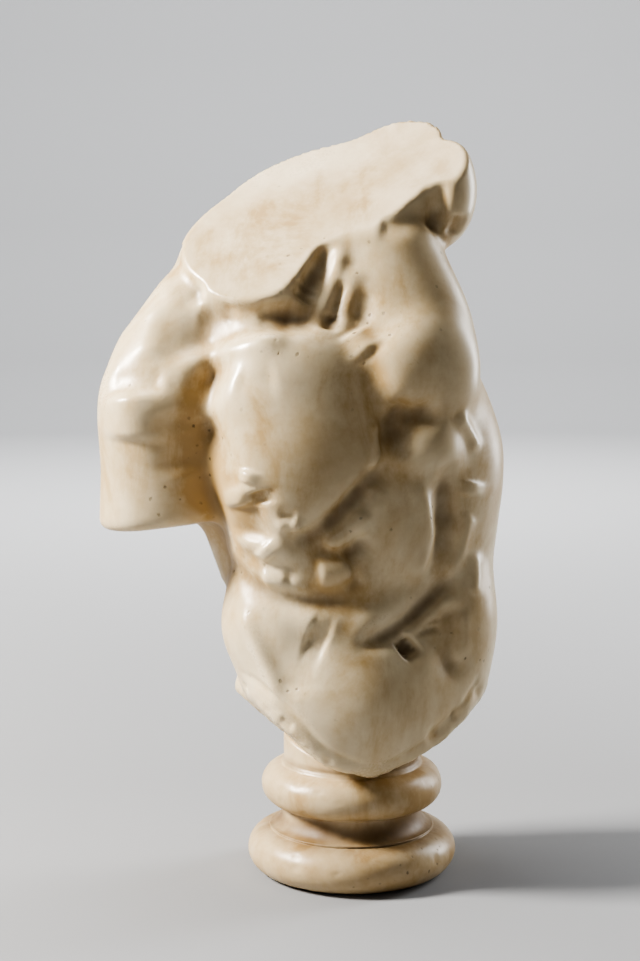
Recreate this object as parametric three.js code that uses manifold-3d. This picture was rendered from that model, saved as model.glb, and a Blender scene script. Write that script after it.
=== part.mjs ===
// A marble torso, broken above the neck and the raised shoulder, set on a turned marble socle.
// Millimetres, +Z up. The origin is the centre of the socle's underside, -Y is the front of the
// piece and +X lies to the right of someone facing it, so the hanging arm is on the -X side.
import * as THREE from 'three';
import { SimplifyModifier } from 'three/addons/modifiers/SimplifyModifier.js';
import * as BufferGeometryUtils from 'three/addons/utils/BufferGeometryUtils.js';
import Module from 'manifold-3d';

const wasm = await Module();
wasm.setup();

// ---- driving dimensions -------------------------------------------------------------------------
const CELL = 5;               // mesh size of the torso before it is thinned
const KEPT_VERTICES = 3700;   // of the torso's mesh after it is thinned
const CARVING_DEPTH = 60;     // strokes act only this near the skin
const JOINT_GAP = 0.3;        // between the torso's broken underside and the socle's neck
const CUT_BLOCK = 1000;       // side of the blocks that trim a solid along a plane

// the space that holds the whole torso
const SPACE_MIN = [-236, -112, 72];
const SPACE_MAX = [150, 112, 672];
const STOCK_BOTTOM = 86;      // the stock is flat here before the breaks are cut
const STOCK_TOP = 656;

// socle, from the floor up: lower torus, scotia, upper torus, neck
const SOCLE_STEPS = 40;
const TORUS_STEPS = 5;        // steps in a quarter of a torus's roll
const LOWER_TORUS = { radius: 70, level: 19, roll: 20 };
const SCOTIA = { radius: 71, level: 57, deep: 11.5, bottom: 40 };
const UPPER_TORUS = { radius: 60.5, level: 76, roll: 17.5 };
const FILLET = { radius: 60.5, level: 96 };
const NECK = { radius: 58.5, level: 98, top: 190 };

// the break across the neck and the raised shoulder: one sloping plane
const TOP_BREAK = { normal: [-0.207, -0.684, 0.699], point: [-85, -52, 488] };

// the sawn end of the hanging arm
const ARM_END = { normal: [0.1, 0, -1], point: [-160, 0, 300] };
const ARM_EDGE = 12;          // rounding of the arm's sawn edge

// the broken underside: planes that meet like a ship's bow and rise a little towards the back
const UNDERSIDE = [
  // slope along x, slope along y, point
  [-0.93, -0.32, [-60, -57, 134]],
  [-0.30, 0.10, [0, -65, 99]],
  [0.42, 0.10, [25, -65, 98]],
  [1.20, -0.30, [100, -24, 139]],
];

// front strokes are thrown onto the body from this point, as a viewer in front sees them
const VIEWPOINT = new THREE.Vector3(-27, -1572, 521);
const FRONT_PLANE = -60;      // the y at which front strokes are laid out
const BACK_PLANE = 160;       // back strokes are thrown forward from here

// trunk sections: level, centre x, centre y, half width, half depth, turn to the right in degrees
const SECTION_POWER = 2.4;    // how square a section is; 2 is an ellipse
const TRUNK = [
  [40, 12, 0, 50, 45, 20],
  [80, 12, -2, 80, 56, 20],
  [110, 12, -6, 96, 66, 20],
  [140, 11, -6, 105, 72, 20],
  [170, 10, -5, 107, 74, 20],
  [200, 9, -3, 108, 72, 20],
  [235, 9, 0, 111, 68, 20],
  [270, 9, 0, 116, 67, 20],
  [300, 9, 2, 120, 70, 20],
  [335, 8, 4, 125, 73, 20],
  [370, 5, 6, 126, 74, 18],
  [410, -2, 10, 119, 71, 15],
  [450, -12, 16, 108, 64, 12],
  [490, -22, 22, 96, 56, 10],
  [530, -26, 26, 88, 50, 8],
  [570, -18, 29, 80, 43, 8],
  [610, 0, 30, 74, 38, 8],
  [660, 20, 30, 66, 34, 8],
];

// masses of the body: name, blend with what is below, blend inside the group, shapes
// an ellipsoid is centre, radii, turns (to the left, back, round); a limb is two ends and two radii
const MASSES = [
  ['trapezius', 26, 24, [
    ['limb', [-30, 26, 640], [-100, 26, 520], 42, 42],
    ['limb', [-100, 26, 520], [-156, 18, 440], 42, 44],
  ]],
  ['neck', 10, 10, [
    ['limb', [-62, 4, 440], [-90, -4, 560], 50, 52],
  ]],
  ['raised shoulder', 18, 22, [
    ['limb', [24, 24, 500], [34, 30, 640], 42, 39],
  ]],
  ['shoulder lump', 5, 10, [
    ['ellipsoid', [75, 30, 581], [31, 32, 48], [0, 0, 0]],
  ]],
  ['hanging arm', 16, 22, [
    ['ellipsoid', [-160, 2, 395], [48, 46, 68], [6, 0, 0]],
    ['limb', [-162, 2, 400], [-167, 2, 250], 49, 50],
    ['limb', [-140, 0, 400], [-138, 4, 290], 44, 40],
  ]],
  ['latissimus', 20, 20, [
    ['limb', [-112, 30, 350], [-88, 24, 262], 36, 28],
  ]],
  ['right breast', 30, 34, [
    ['ellipsoid', [-43, -44, 392], [67, 31, 68], [10, -8, 8]],
    ['ellipsoid', [-46, -60, 342], [52, 28, 46], [0, 0, 6]],
  ]],
  ['left breast', 28, 30, [
    ['ellipsoid', [52, -12, 478], [46, 32, 86], [14, 22, 20]],
    ['ellipsoid', [56, -42, 430], [40, 21, 36], [0, 0, 28]],
  ]],
  ['belly', 26, 20, [
    ['ellipsoid', [10, -36, 154], [56, 52, 60], [0, 0, 8]],
  ]],
  ['obliques', 22, 10, [
    ['ellipsoid', [-68, -14, 218], [42, 48, 44], [0, 0, -10]],
    ['ellipsoid', [80, 6, 215], [42, 48, 60], [0, 0, 20]],
  ]],
  ['left rib', 20, 10, [
    ['ellipsoid', [60, -43, 368], [26, 21, 25], [0, 0, 25]],
  ]],
  ['epigastrium', 14, 10, [
    ['ellipsoid', [38, -46, 303], [26, 24, 50], [-6, 0, 20]],
  ]],
  ['right scapula', 14, 10, [
    ['ellipsoid', [-104, 52, 432], [44, 20, 62], [0, 0, 10]],
  ]],
  ['left scapula', 14, 10, [
    ['ellipsoid', [48, 56, 452], [36, 22, 58], [0, -22, 0]],
  ]],
  ['buttocks', 18, 12, [
    ['ellipsoid', [-52, 44, 140], [52, 38, 56], [0, 0, 0]],
    ['ellipsoid', [44, 54, 140], [54, 34, 56], [0, 0, 0]],
  ]],
];

// carved strokes: name, half width, height (grooves are negative), course as x and level
const FRONT_STROKES = [
  ['clavicle ridge', 11, 7, [[-150, 426], [-128, 438], [-102, 447], [-75, 455], [-48, 462]]],
  ['under the clavicle', 12, -2, [[-98, 426], [-80, 425], [-60, 428]]],
  ['hollow over clavicle', 11, -7, [[-128, 478], [-105, 476], [-80, 477], [-50, 476], [-24, 472]]],
  ['deep of the hollow', 10, -3.5, [[-80, 480], [-62, 479], [-46, 477]]],
  ['furrow over clavicle', 6, -3, [[-100, 486], [-108, 470]]],
  ['throat crevice', 8, -7, [[-20, 541], [-25, 524], [-33, 508], [-41, 496]]],
  ['throat crevice, low', 10, -4, [[-36, 503], [-44, 490]]],
  ['groove beside the neck', 12, -7, [[-158, 548], [-148, 524], [-134, 502], [-120, 488]]],
  ['first tendon', 8, 4, [[-12, 540], [-14, 515], [-22, 492], [-34, 474]]],
  ['groove between tendons', 5, -2.5, [[-8, 508], [-13, 488], [-18, 470]]],
  ['pit between tendons', 7, -4, [[-17, 480], [-20, 466]]],
  ['second tendon', 9, 3.5, [[2, 520], [-3, 500], [-8, 480], [-12, 458]]],
  ['hollow by the tendon', 9, -2, [[14, 500], [8, 485], [3, 470]]],
  ['clavicle head', 11, 4, [[-2, 466], [14, 446]]],
  ['breastbone', 15, -4, [[10, 446], [16, 430], [22, 412], [27, 395], [28, 378], [27, 362]]],
  ['lower edge of left breast', 12, -6, [[26, 404], [40, 397], [56, 397], [74, 404]]],
  ['deep under left breast', 7, -3, [[38, 394], [50, 397], [62, 402]]],
  ['edge of right breast', 4, 3.5, [[20, 400], [19, 380], [18, 362], [15, 350]]],
  ['lower edge of right breast', 11, -8,
    [[27, 368], [21, 350], [10, 335], [-4, 320], [-18, 306], [-32, 297], [-48, 293], [-64, 298]]],
  ['deep under right breast', 7, -4.5, [[14, 340], [2, 328], [-12, 314], [-26, 302]]],
  ['nipple', 6, 4, [[-47, 306]]],
  ['nipple, side', 5, 2.5, [[-58, 307]]],
  ['areola', 4, -2.5, [[-62, 316], [-46, 314]]],
  ['groove between arm and breast', 14, -5,
    [[-122, 400], [-116, 382], [-108, 364], [-101, 346], [-96, 328]]],
  ['armpit bump', 9, 4, [[-86, 353], [-88, 340]]],
  ['armpit hollow', 10, -7, [[-80, 336], [-76, 322]]],
  ['shade under the arm', 17, -9, [[-92, 326], [-86, 308], [-82, 290]]],
  ['front of deltoid', 24, 7, [[-182, 420], [-182, 372]]],
  ['deltoid valley', 16, -4, [[-152, 405], [-146, 375], [-140, 345]]],
  ['shoulder top valley', 11, -4, [[-202, 424], [-176, 428], [-150, 424]]],
  ['trapezius edge', 14, 3, [[-162, 490], [-166, 440]]],
  ['first rib', 8, 4.5, [[-28, 288], [-12, 297], [2, 309], [9, 322]]],
  ['under first rib', 7, -4.5, [[-40, 285], [-20, 283], [0, 285], [12, 299]]],
  ['serratus', 10, 4, [[-76, 290], [-66, 279]]],
  ['serratus, side', 8, 3, [[-56, 285]]],
  ['flank bump', 13, 6, [[-32, 267], [-15, 270], [0, 275]]],
  ['waist fold', 10, -8,
    [[-110, 284], [-97, 270], [-85, 257], [-70, 249], [-50, 244], [-30, 243], [-10, 245], [24, 249]]],
  ['deep of the waist fold', 6, -3.5, [[-90, 262], [-72, 250], [-50, 244], [-20, 244]]],
  ['upper waist fold', 7, -4.5, [[-98, 288], [-80, 275], [-60, 269], [-44, 263]]],
  ['waist bump', 10, 3.5, [[-78, 262], [-52, 260]]],
  ['spot under the flank bump', 7, -3.5, [[0, 258]]],
  ['rib arch', 9, 3.5, [[46, 348], [56, 330], [63, 308], [62, 288], [54, 270], [40, 260]]],
  ['groove outside rib arch', 15, -5.5,
    [[64, 336], [72, 320], [77, 303], [75, 287], [68, 271], [56, 258], [40, 250], [22, 247]]],
  ['rib arch, near side', 8, 3, [[22, 345], [18, 330], [9, 310], [2, 296]]],
  ['groove by left rib', 9, -2.5, [[37, 390], [39, 376], [45, 360]]],
  ['side rib', 12, 4, [[98, 345], [96, 330]]],
  ['upper side rib', 7, 4, [[84, 400], [93, 385], [103, 366]]],
  ['groove before side rib', 10, -3.5, [[78, 364], [76, 345], [79, 322], [84, 300]]],
  ['flank ridge', 7, 3, [[97, 318], [93, 305], [87, 282], [76, 262]]],
  ['band over the navel fold', 11, 4.5,
    [[-7, 214], [10, 226], [30, 238], [51, 254], [71, 275], [83, 291]]],
  ['navel fold', 8, -5,
    [[-4, 206], [16, 211], [34, 219], [50, 231], [63, 243], [78, 257], [92, 274]]],
  ['deep of the navel fold', 4.5, -2.5, [[2, 208], [20, 213], [36, 220], [52, 232], [68, 247], [84, 264]]],
  ['ridge under the fold', 6, 3, [[34, 212], [55, 227], [69, 240], [84, 254]]],
  ['bump right of the navel', 14, 3, [[60, 196]]],
  ['hollow left of the navel', 16, -4, [[-40, 216], [-20, 208]]],
  ['groin valley', 18, -4.5, [[-28, 222], [-44, 202], [-52, 182], [-50, 158]]],
  ['bump over the hollow', 14, 2, [[-32, 230]]],
  ['hip ridge', 8, 4.5,
    [[-96, 240], [-88, 225], [-80, 208], [-72, 190], [-64, 170], [-57, 155]]],
  ['left flank valley', 11, -4.5, [[80, 245], [84, 225], [83, 200], [80, 172]]],
  ['left flank ridge', 8, 3.5, [[91, 240], [90, 215], [88, 190]]],
  ['left flank ridge, upper', 8, 3.5, [[99, 288], [100, 265], [98, 246]]],
  ['hollow under the raised shoulder', 12, -5, [[16, 552], [38, 554], [60, 566]]],
  ['crease by the shoulder lump', 7, -7, [[60, 545], [68, 565], [70, 592]]],
  ['crease under the shoulder lump', 8, -5, [[80, 540], [86, 560]]],
];
const BACK_STROKES = [
  ['spine', 15, -9,
    [[-34, 600], [-36, 530], [-28, 450], [-20, 370], [-18, 300], [-18, 235], [-17, 180]]],
  ['right spinal muscle', 14, 6, [[-50, 350], [-46, 300], [-44, 235], [-42, 180]]],
  ['left spinal muscle', 14, 6, [[10, 350], [10, 300], [10, 235], [10, 180]]],
  ['right scapula border', 10, -7, [[-66, 490], [-62, 440], [-64, 395], [-78, 366]]],
  ['right scapula spine', 9, 6, [[-72, 470], [-110, 480], [-150, 470], [-190, 440]]],
  ['left scapula border', 10, -7, [[-4, 500], [8, 450], [24, 405], [44, 385]]],
  ['left scapula spine', 9, 6, [[2, 500], [30, 530], [66, 560]]],
  ['sacrum', 24, -6, [[-17, 190], [-16, 150]]],
  ['right latissimus edge', 9, -4, [[-80, 350], [-60, 290], [-50, 250]]],
  ['left latissimus edge', 9, -4, [[50, 370], [34, 300], [22, 260]]],
];

// ---- distance fields: negative inside, in millimetres ---------------------------------------------
const radians = THREE.MathUtils.degToRad;

// the smaller of two distances, with the crease between them filled over a width
function blend(a, b, width) {
  const overlap = Math.max(width - Math.abs(a - b), 0) / width;
  return Math.min(a, b) - overlap * overlap * width * 0.25;
}

// the larger of two distances, with the edge between them rounded over a width
function trim(a, b, width) {
  return -blend(-a, -b, width);
}

// signed height over a plane
function planeField({ normal, point }) {
  const up = new THREE.Vector3(...normal).normalize();
  const level = up.dot(new THREE.Vector3(...point));
  return (p) => up.dot(p) - level;
}

function ellipsoidField(centre, radii, [toLeft, toBack, round]) {
  const middle = new THREE.Vector3(...centre);
  const turn = new THREE.Matrix4().makeRotationZ(radians(round));
  turn.multiply(new THREE.Matrix4().makeRotationY(-radians(toLeft)));
  turn.multiply(new THREE.Matrix4().makeRotationX(-radians(toBack)));
  const unturn = turn.clone().invert();
  const [rx, ry, rz] = radii;
  const q = new THREE.Vector3();
  return (p) => {
    q.copy(p).sub(middle).applyMatrix4(unturn);
    const near = Math.hypot(q.x / rx, q.y / ry, q.z / rz);
    const slope = Math.hypot(q.x / (rx * rx), q.y / (ry * ry), q.z / (rz * rz));
    return (near * (near - 1)) / Math.max(slope, 1e-6);
  };
}

// a straight round bar with ball ends, thicker or thinner from end to end
function limbField(from, to, radiusFrom, radiusTo) {
  const start = new THREE.Vector3(...from);
  const along = new THREE.Vector3(...to).sub(start);
  const q = new THREE.Vector3();
  return (p) => {
    q.copy(p).sub(start);
    const t = THREE.MathUtils.clamp(q.dot(along) / along.lengthSq(), 0, 1);
    return q.addScaledVector(along, -t).length() - (radiusFrom + t * (radiusTo - radiusFrom));
  };
}

// the trunk: rounded sections lofted from level to level by Hermite curves
function trunkField(sections) {
  const levels = sections.map((section) => section[0]);
  const last = sections.length - 1;
  const slope = (i, column) => {
    const low = Math.max(i - 1, 0);
    const high = Math.min(i + 1, last);
    return (sections[high][column] - sections[low][column]) / (levels[high] - levels[low]);
  };
  const slopes = sections.map((section, i) => section.map((_, column) => slope(i, column)));
  const sectionAt = (level) => {
    const z = THREE.MathUtils.clamp(level, levels[0], levels[last]);
    let i = 0;
    while (i < last - 1 && levels[i + 1] < z) i += 1;
    const step = levels[i + 1] - levels[i];
    const t = (z - levels[i]) / step;
    return sections[i].map((value, column) => {
      const rise = sections[i + 1][column] - value;
      const leave = slopes[i][column] * step;
      const arrive = slopes[i + 1][column] * step;
      const bend = (leave - rise) * (1 - t) - (arrive - rise) * t;
      return value + t * rise + t * (1 - t) * bend;
    });
  };
  return (p) => {
    const [, x, y, halfWidth, halfDepth, turn] = sectionAt(p.z);
    const c = Math.cos(radians(turn));
    const s = Math.sin(radians(turn));
    const across = (p.x - x) * c + (p.y - y) * s;
    const deep = (p.y - y) * c - (p.x - x) * s;
    const power = SECTION_POWER;
    const sum = Math.abs(across / halfWidth) ** power + Math.abs(deep / halfDepth) ** power;
    const share = Math.max(sum ** (1 / power), 1e-3);
    if (share <= 1e-3) return -Math.min(halfWidth, halfDepth);
    return Math.hypot(across, deep) * (1 - 1 / share);
  };
}

// the uncarved body: the trunk with every mass blended on in turn
const MAKERS = { ellipsoid: ellipsoidField, limb: limbField };
const trunk = trunkField(TRUNK);
const armEnd = planeField(ARM_END);
const masses = MASSES.map(([name, outer, inner, shapes]) => ({
  sawn: name === 'hanging arm',
  outer,
  inner,
  fields: shapes.map(([kind, ...sizes]) => MAKERS[kind](...sizes)),
}));

function body(p) {
  let distance = trunk(p);
  for (const mass of masses) {
    let own = mass.fields[0](p);
    for (const field of mass.fields.slice(1)) own = blend(own, field(p), mass.inner);
    if (mass.sawn) own = trim(own, armEnd(p), ARM_EDGE);
    distance = blend(distance, own, mass.outer);
  }
  return distance;
}

// a field with flat ends, so that its skin is closed
function stockOf(field) {
  return (p) => Math.max(field(p), STOCK_BOTTOM - p.z, p.z - STOCK_TOP);
}

function gradient(field, p, reach = 1) {
  const q = new THREE.Vector3();
  const difference = (axis) => {
    q.copy(p);
    q[axis] += reach;
    const ahead = field(q);
    q[axis] -= 2 * reach;
    return (ahead - field(q)) / (2 * reach);
  };
  return new THREE.Vector3(difference('x'), difference('y'), difference('z'));
}

// ---- carved strokes ---------------------------------------------------------------------------------
// the first point of the body along a ray, or the nearest one where the ray misses
const RAY_STEP = 4;
const RAY_LENGTH = 300;
function landing(start, direction) {
  const q = new THREE.Vector3();
  const at = (distance) => body(q.copy(start).addScaledVector(direction, distance));
  let nearest = 0;
  let least = Infinity;
  for (let distance = 0; distance < RAY_LENGTH; distance += RAY_STEP) {
    const value = at(distance);
    if (value < least) {
      least = value;
      nearest = distance;
    }
    if (value < 0) break;
  }
  let outside = Math.max(nearest - RAY_STEP, 0);
  let inside = nearest;
  if (least >= 0) outside = nearest;
  for (let halving = 0; halving < 8; halving += 1) {
    const middle = (outside + inside) / 2;
    if (at(middle) < 0) inside = middle;
    else outside = middle;
  }
  return start.clone().addScaledVector(direction, (outside + inside) / 2);
}

const RAYS = {
  front: (x, z) => {
    const start = new THREE.Vector3(x, FRONT_PLANE, z);
    const direction = start.clone().sub(VIEWPOINT).normalize();
    return [start.addScaledVector(direction, -80), direction];
  },
  back: (x, z) => [new THREE.Vector3(x, BACK_PLANE, z), new THREE.Vector3(0, -1, 0)],
};

// a stroke's surface points, normals and reach; the cross-section is a bell curve
const NORMAL_SHARE = 0.35;    // how much distance along the normal counts, next to distance along the skin
const FADE = 0.25;            // share of the course over which each end fades out
function makeStroke([, halfWidth, height, course], side) {
  let places = course;
  if (course.length > 1) {
    const curve = new THREE.CatmullRomCurve3(
      course.map(([x, z]) => new THREE.Vector3(x, 0, z)), false, 'catmullrom', 0.5);
    let length = 0;
    for (let i = 1; i < course.length; i += 1) {
      length += Math.hypot(course[i][0] - course[i - 1][0], course[i][1] - course[i - 1][1]);
    }
    const pieces = Math.max(3, Math.floor(length / Math.max(2.5, halfWidth * 0.6)));
    places = curve.getPoints(pieces).map((p) => [p.x, p.z]);
  }
  const points = places.map(([x, z]) => landing(...RAYS[side](x, z)));
  const normals = points.map((p) => gradient(body, p).normalize());
  const reach = new THREE.Box3().setFromPoints(points).expandByScalar(halfWidth * 2.6);
  return { halfWidth, height, points, normals, reach };
}

// how far a stroke lifts the surface at p
const fromPath = new THREE.Vector3();
const pathStep = new THREE.Vector3();
const skinNormal = new THREE.Vector3();
function lift(stroke, p) {
  const { halfWidth, height, points, normals } = stroke;
  const skinDistance = () => {
    const along = fromPath.dot(skinNormal);
    return fromPath.lengthSq() - (1 - NORMAL_SHARE) * along * along;
  };
  let least = Infinity;
  let place = 0.5;
  if (points.length === 1) {
    fromPath.copy(p).sub(points[0]);
    skinNormal.copy(normals[0]);
    least = skinDistance();
  }
  for (let i = 0; i + 1 < points.length; i += 1) {
    pathStep.copy(points[i + 1]).sub(points[i]);
    fromPath.copy(p).sub(points[i]);
    const t = THREE.MathUtils.clamp(fromPath.dot(pathStep) / pathStep.lengthSq(), 0, 1);
    fromPath.addScaledVector(pathStep, -t);
    skinNormal.lerpVectors(normals[i], normals[i + 1], t);
    const distance = skinDistance();
    if (distance < least) {
      least = distance;
      place = (i + t) / (points.length - 1);
    }
  }
  const end = THREE.MathUtils.smoothstep(Math.min(place, 1 - place), 0, FADE);
  const fade = points.length === 1 ? 1 : end;
  return height * fade * Math.exp(-Math.max(least, 0) / (halfWidth * halfWidth));
}

const strokes = [
  ...FRONT_STROKES.map((stroke) => makeStroke(stroke, 'front')),
  ...BACK_STROKES.map((stroke) => makeStroke(stroke, 'back')),
];

function carvedBody(p) {
  let distance = body(p);
  if (Math.abs(distance) > CARVING_DEPTH) return distance;
  for (const stroke of strokes) {
    if (stroke.reach.containsPoint(p)) distance -= lift(stroke, p);
  }
  return distance;
}

// ---- torso mesh -------------------------------------------------------------------------------------
// a closed mesh with one vertex in each cell that the skin passes through (a surface net)
function surfaceNet(field, low, high, cell) {
  const count = low.map((start, axis) => Math.ceil((high[axis] - start) / cell) + 1);
  const stride = [1, count[0], count[0] * count[1]];
  const index = (i, j, k) => i + j * stride[1] + k * stride[2];
  const values = new Float32Array(count[0] * count[1] * count[2]);
  const p = new THREE.Vector3();
  for (let k = 0; k < count[2]; k += 1) {
    for (let j = 0; j < count[1]; j += 1) {
      for (let i = 0; i < count[0]; i += 1) {
        p.set(low[0] + i * cell, low[1] + j * cell, low[2] + k * cell);
        values[index(i, j, k)] = field(p);
      }
    }
  }

  const corners = [];
  for (let corner = 0; corner < 8; corner += 1) {
    corners.push([corner & 1, (corner >> 1) & 1, corner >> 2]);
  }
  const crossing = (i, j, k) => {
    const sum = new THREE.Vector3();
    let found = 0;
    for (const from of corners) {
      for (const axis of [0, 1, 2].filter((each) => from[each] === 0)) {
        const start = values[index(i + from[0], j + from[1], k + from[2])];
        const end = values[index(i + from[0], j + from[1], k + from[2]) + stride[axis]];
        if (start < 0 === end < 0) continue;
        const place = [...from];
        place[axis] += start / (start - end);
        sum.add(p.set(...place));
        found += 1;
      }
    }
    if (found === 0) return null;
    return sum.divideScalar(found).add(p.set(i, j, k));
  };

  const vertexOf = new Int32Array(values.length).fill(-1);
  const vertices = [];
  for (let k = 0; k < count[2] - 1; k += 1) {
    for (let j = 0; j < count[1] - 1; j += 1) {
      for (let i = 0; i < count[0] - 1; i += 1) {
        const place = crossing(i, j, k);
        if (place === null) continue;
        vertexOf[index(i, j, k)] = vertices.length;
        vertices.push(place.multiplyScalar(cell).add(p.set(...low)));
      }
    }
  }

  const triangles = [];
  for (let k = 1; k < count[2] - 1; k += 1) {
    for (let j = 1; j < count[1] - 1; j += 1) {
      for (let i = 1; i < count[0] - 1; i += 1) {
        const here = index(i, j, k);
        for (let axis = 0; axis < 3; axis += 1) {
          const inside = values[here] < 0;
          if (inside === values[here + stride[axis]] < 0) continue;
          const first = stride[(axis + 1) % 3];
          const second = stride[(axis + 2) % 3];
          const ring = [here - first - second, here - second, here, here - first];
          if (!inside) ring.reverse();
          const [a, b, c, d] = ring.map((cellIndex) => vertexOf[cellIndex]);
          const acrossAC = vertices[a].distanceToSquared(vertices[c]);
          const acrossBD = vertices[b].distanceToSquared(vertices[d]);
          if (acrossAC <= acrossBD) triangles.push(a, b, c, a, c, d);
          else triangles.push(a, b, d, b, c, d);
        }
      }
    }
  }
  return { vertices, triangles };
}

// moves each vertex along the field's gradient until it lies on the skin
const SETTLE_ROUNDS = 3;
function settle(vertices, field, cell) {
  for (let round = 0; round < SETTLE_ROUNDS; round += 1) {
    for (const vertex of vertices) {
      const slope = gradient(field, vertex);
      const step = -field(vertex) / Math.max(slope.lengthSq(), 0.2);
      slope.multiplyScalar(step).clampLength(0, cell / 2);
      vertex.add(slope);
    }
  }
}

// ---- joining and cutting ----------------------------------------------------------------------------
function solidOf(geometry) {
  const plain = geometry.clone();
  plain.deleteAttribute('normal');
  plain.deleteAttribute('uv');
  const merged = BufferGeometryUtils.mergeVertices(plain, 1e-3);
  const vertProperties = new Float32Array(merged.attributes.position.array);
  const triVerts = new Uint32Array(merged.index.array);
  return new wasm.Manifold(new wasm.Mesh({ numProp: 3, vertProperties, triVerts }));
}

function geometryOf(solid) {
  const mesh = solid.getMesh();
  const geometry = new THREE.BufferGeometry();
  geometry.setAttribute('position', new THREE.BufferAttribute(new Float32Array(mesh.vertProperties), 3));
  geometry.setIndex(new THREE.BufferAttribute(new Uint32Array(mesh.triVerts), 1));
  geometry.computeVertexNormals();
  return geometry;
}

// a big block whose underside lies on a plane, or stands off it by a distance
function blockOver({ normal, point }, offset = 0) {
  const up = new THREE.Vector3(...normal).normalize();
  const block = new THREE.BoxGeometry(CUT_BLOCK, CUT_BLOCK, CUT_BLOCK);
  const turn = new THREE.Quaternion().setFromUnitVectors(new THREE.Vector3(0, 0, 1), up);
  const centre = new THREE.Vector3(...point).addScaledVector(up, CUT_BLOCK / 2 + offset);
  block.applyQuaternion(turn);
  block.translate(centre.x, centre.y, centre.z);
  return solidOf(block);
}

const undersidePlanes = UNDERSIDE.map(([alongX, alongY, point]) => ({
  normal: [alongX, alongY, -1],
  point,
}));

// everything that lies over all the underside's planes, grown downwards by an offset
function overUnderside(offset) {
  const block = new THREE.BoxGeometry(CUT_BLOCK, CUT_BLOCK, CUT_BLOCK);
  block.translate(0, 0, CUT_BLOCK / 2);
  let solid = solidOf(block);
  for (const plane of undersidePlanes) solid = solid.subtract(blockOver(plane, offset));
  return solid;
}

// ---- the two pieces ---------------------------------------------------------------------------------
async function makeTorso() {
  const { vertices, triangles } = surfaceNet(stockOf(carvedBody), SPACE_MIN, SPACE_MAX, CELL);
  settle(vertices, stockOf(carvedBody), CELL);
  const whole = new THREE.BufferGeometry().setFromPoints(vertices);
  whole.setIndex(triangles);
  const thinned = await new SimplifyModifier().modify(whole, vertices.length - KEPT_VERTICES);
  const broken = solidOf(thinned)
    .subtract(blockOver(TOP_BREAK))
    .intersect(overUnderside(0));
  return geometryOf(broken);
}

function makeSocle() {
  const quarter = Math.PI / 2;
  const lower = LOWER_TORUS;
  const upper = UPPER_TORUS;
  const scotiaRise = SCOTIA.level - SCOTIA.bottom;
  const profile = new THREE.Path();
  profile.moveTo(0, 0);
  profile.lineTo(lower.radius, 0);
  profile.absellipse(lower.radius, lower.level, lower.roll, lower.level, -quarter, quarter, false, 0);
  profile.lineTo(SCOTIA.radius, SCOTIA.bottom);
  profile.absellipse(
    SCOTIA.radius, SCOTIA.level, SCOTIA.deep, scotiaRise, -quarter, -2 * quarter, true, 0);
  profile.lineTo(upper.radius, upper.level - upper.roll);
  profile.absarc(upper.radius, upper.level, upper.roll, -quarter, quarter, false);
  profile.lineTo(FILLET.radius, FILLET.level);
  profile.lineTo(NECK.radius, NECK.level);
  profile.lineTo(NECK.radius, NECK.top);
  profile.lineTo(0, NECK.top);
  const turned = new THREE.LatheGeometry(profile.getPoints(TORUS_STEPS), SOCLE_STEPS);
  turned.rotateX(quarter);
  return geometryOf(solidOf(turned).subtract(overUnderside(JOINT_GAP)));
}

const torso = new THREE.Mesh(
  await makeTorso(),
  new THREE.MeshStandardMaterial({ color: 0xd9c9aa, roughness: 0.42, metalness: 0 }),
);
torso.name = 'torso';

const socle = new THREE.Mesh(
  makeSocle(),
  new THREE.MeshStandardMaterial({ color: 0xc2a886, roughness: 0.4, metalness: 0 }),
);
socle.name = 'socle';

const group = new THREE.Group();
group.name = 'marble_torso_on_socle';
group.add(torso, socle);

export default group;
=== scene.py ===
import math

import bpy
import numpy as np
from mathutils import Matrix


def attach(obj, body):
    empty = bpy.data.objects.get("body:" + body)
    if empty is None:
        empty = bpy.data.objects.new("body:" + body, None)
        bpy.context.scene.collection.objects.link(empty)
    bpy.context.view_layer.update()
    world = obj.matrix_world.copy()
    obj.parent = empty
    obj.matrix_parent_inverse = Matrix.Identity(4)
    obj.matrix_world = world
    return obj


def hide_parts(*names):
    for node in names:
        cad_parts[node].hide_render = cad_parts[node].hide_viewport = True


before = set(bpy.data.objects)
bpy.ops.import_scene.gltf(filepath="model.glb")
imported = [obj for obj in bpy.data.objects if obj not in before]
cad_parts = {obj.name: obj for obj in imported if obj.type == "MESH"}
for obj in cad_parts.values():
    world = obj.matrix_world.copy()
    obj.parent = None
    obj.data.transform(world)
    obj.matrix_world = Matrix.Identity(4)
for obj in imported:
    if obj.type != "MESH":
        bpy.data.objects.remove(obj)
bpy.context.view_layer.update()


# ---- torso: the block of marble --------------------------------------------------------------------
# A broken torso carved from one block of fine-grained marble. The body is a lofted trunk with
# masses blended onto it, and the chisel's folds, tendons and grooves are strokes laid on its skin.
# The solid's mesh is remeshed finely and settled onto this carved skin. Sizes are in millimetres.

# the break across the neck and the raised shoulder: one sloping plane
TOP_BREAK = {"normal": [-0.207, -0.684, 0.699], "point": [-85, -52, 488]}
# the sawn end of the hanging arm
ARM_END = {"normal": [0.1, 0, -1], "point": [-160, 0, 300]}
ARM_EDGE = 12                 # rounding of the arm's sawn edge
# the broken underside: planes that meet like a ship's bow and rise a little towards the back
UNDERSIDE = [
    # slope along x, slope along y, point
    [-0.93, -0.32, [-60, -57, 134]],
    [-0.30, 0.10, [0, -65, 99]],
    [0.42, 0.10, [25, -65, 98]],
    [1.20, -0.30, [100, -24, 139]],
]
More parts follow.
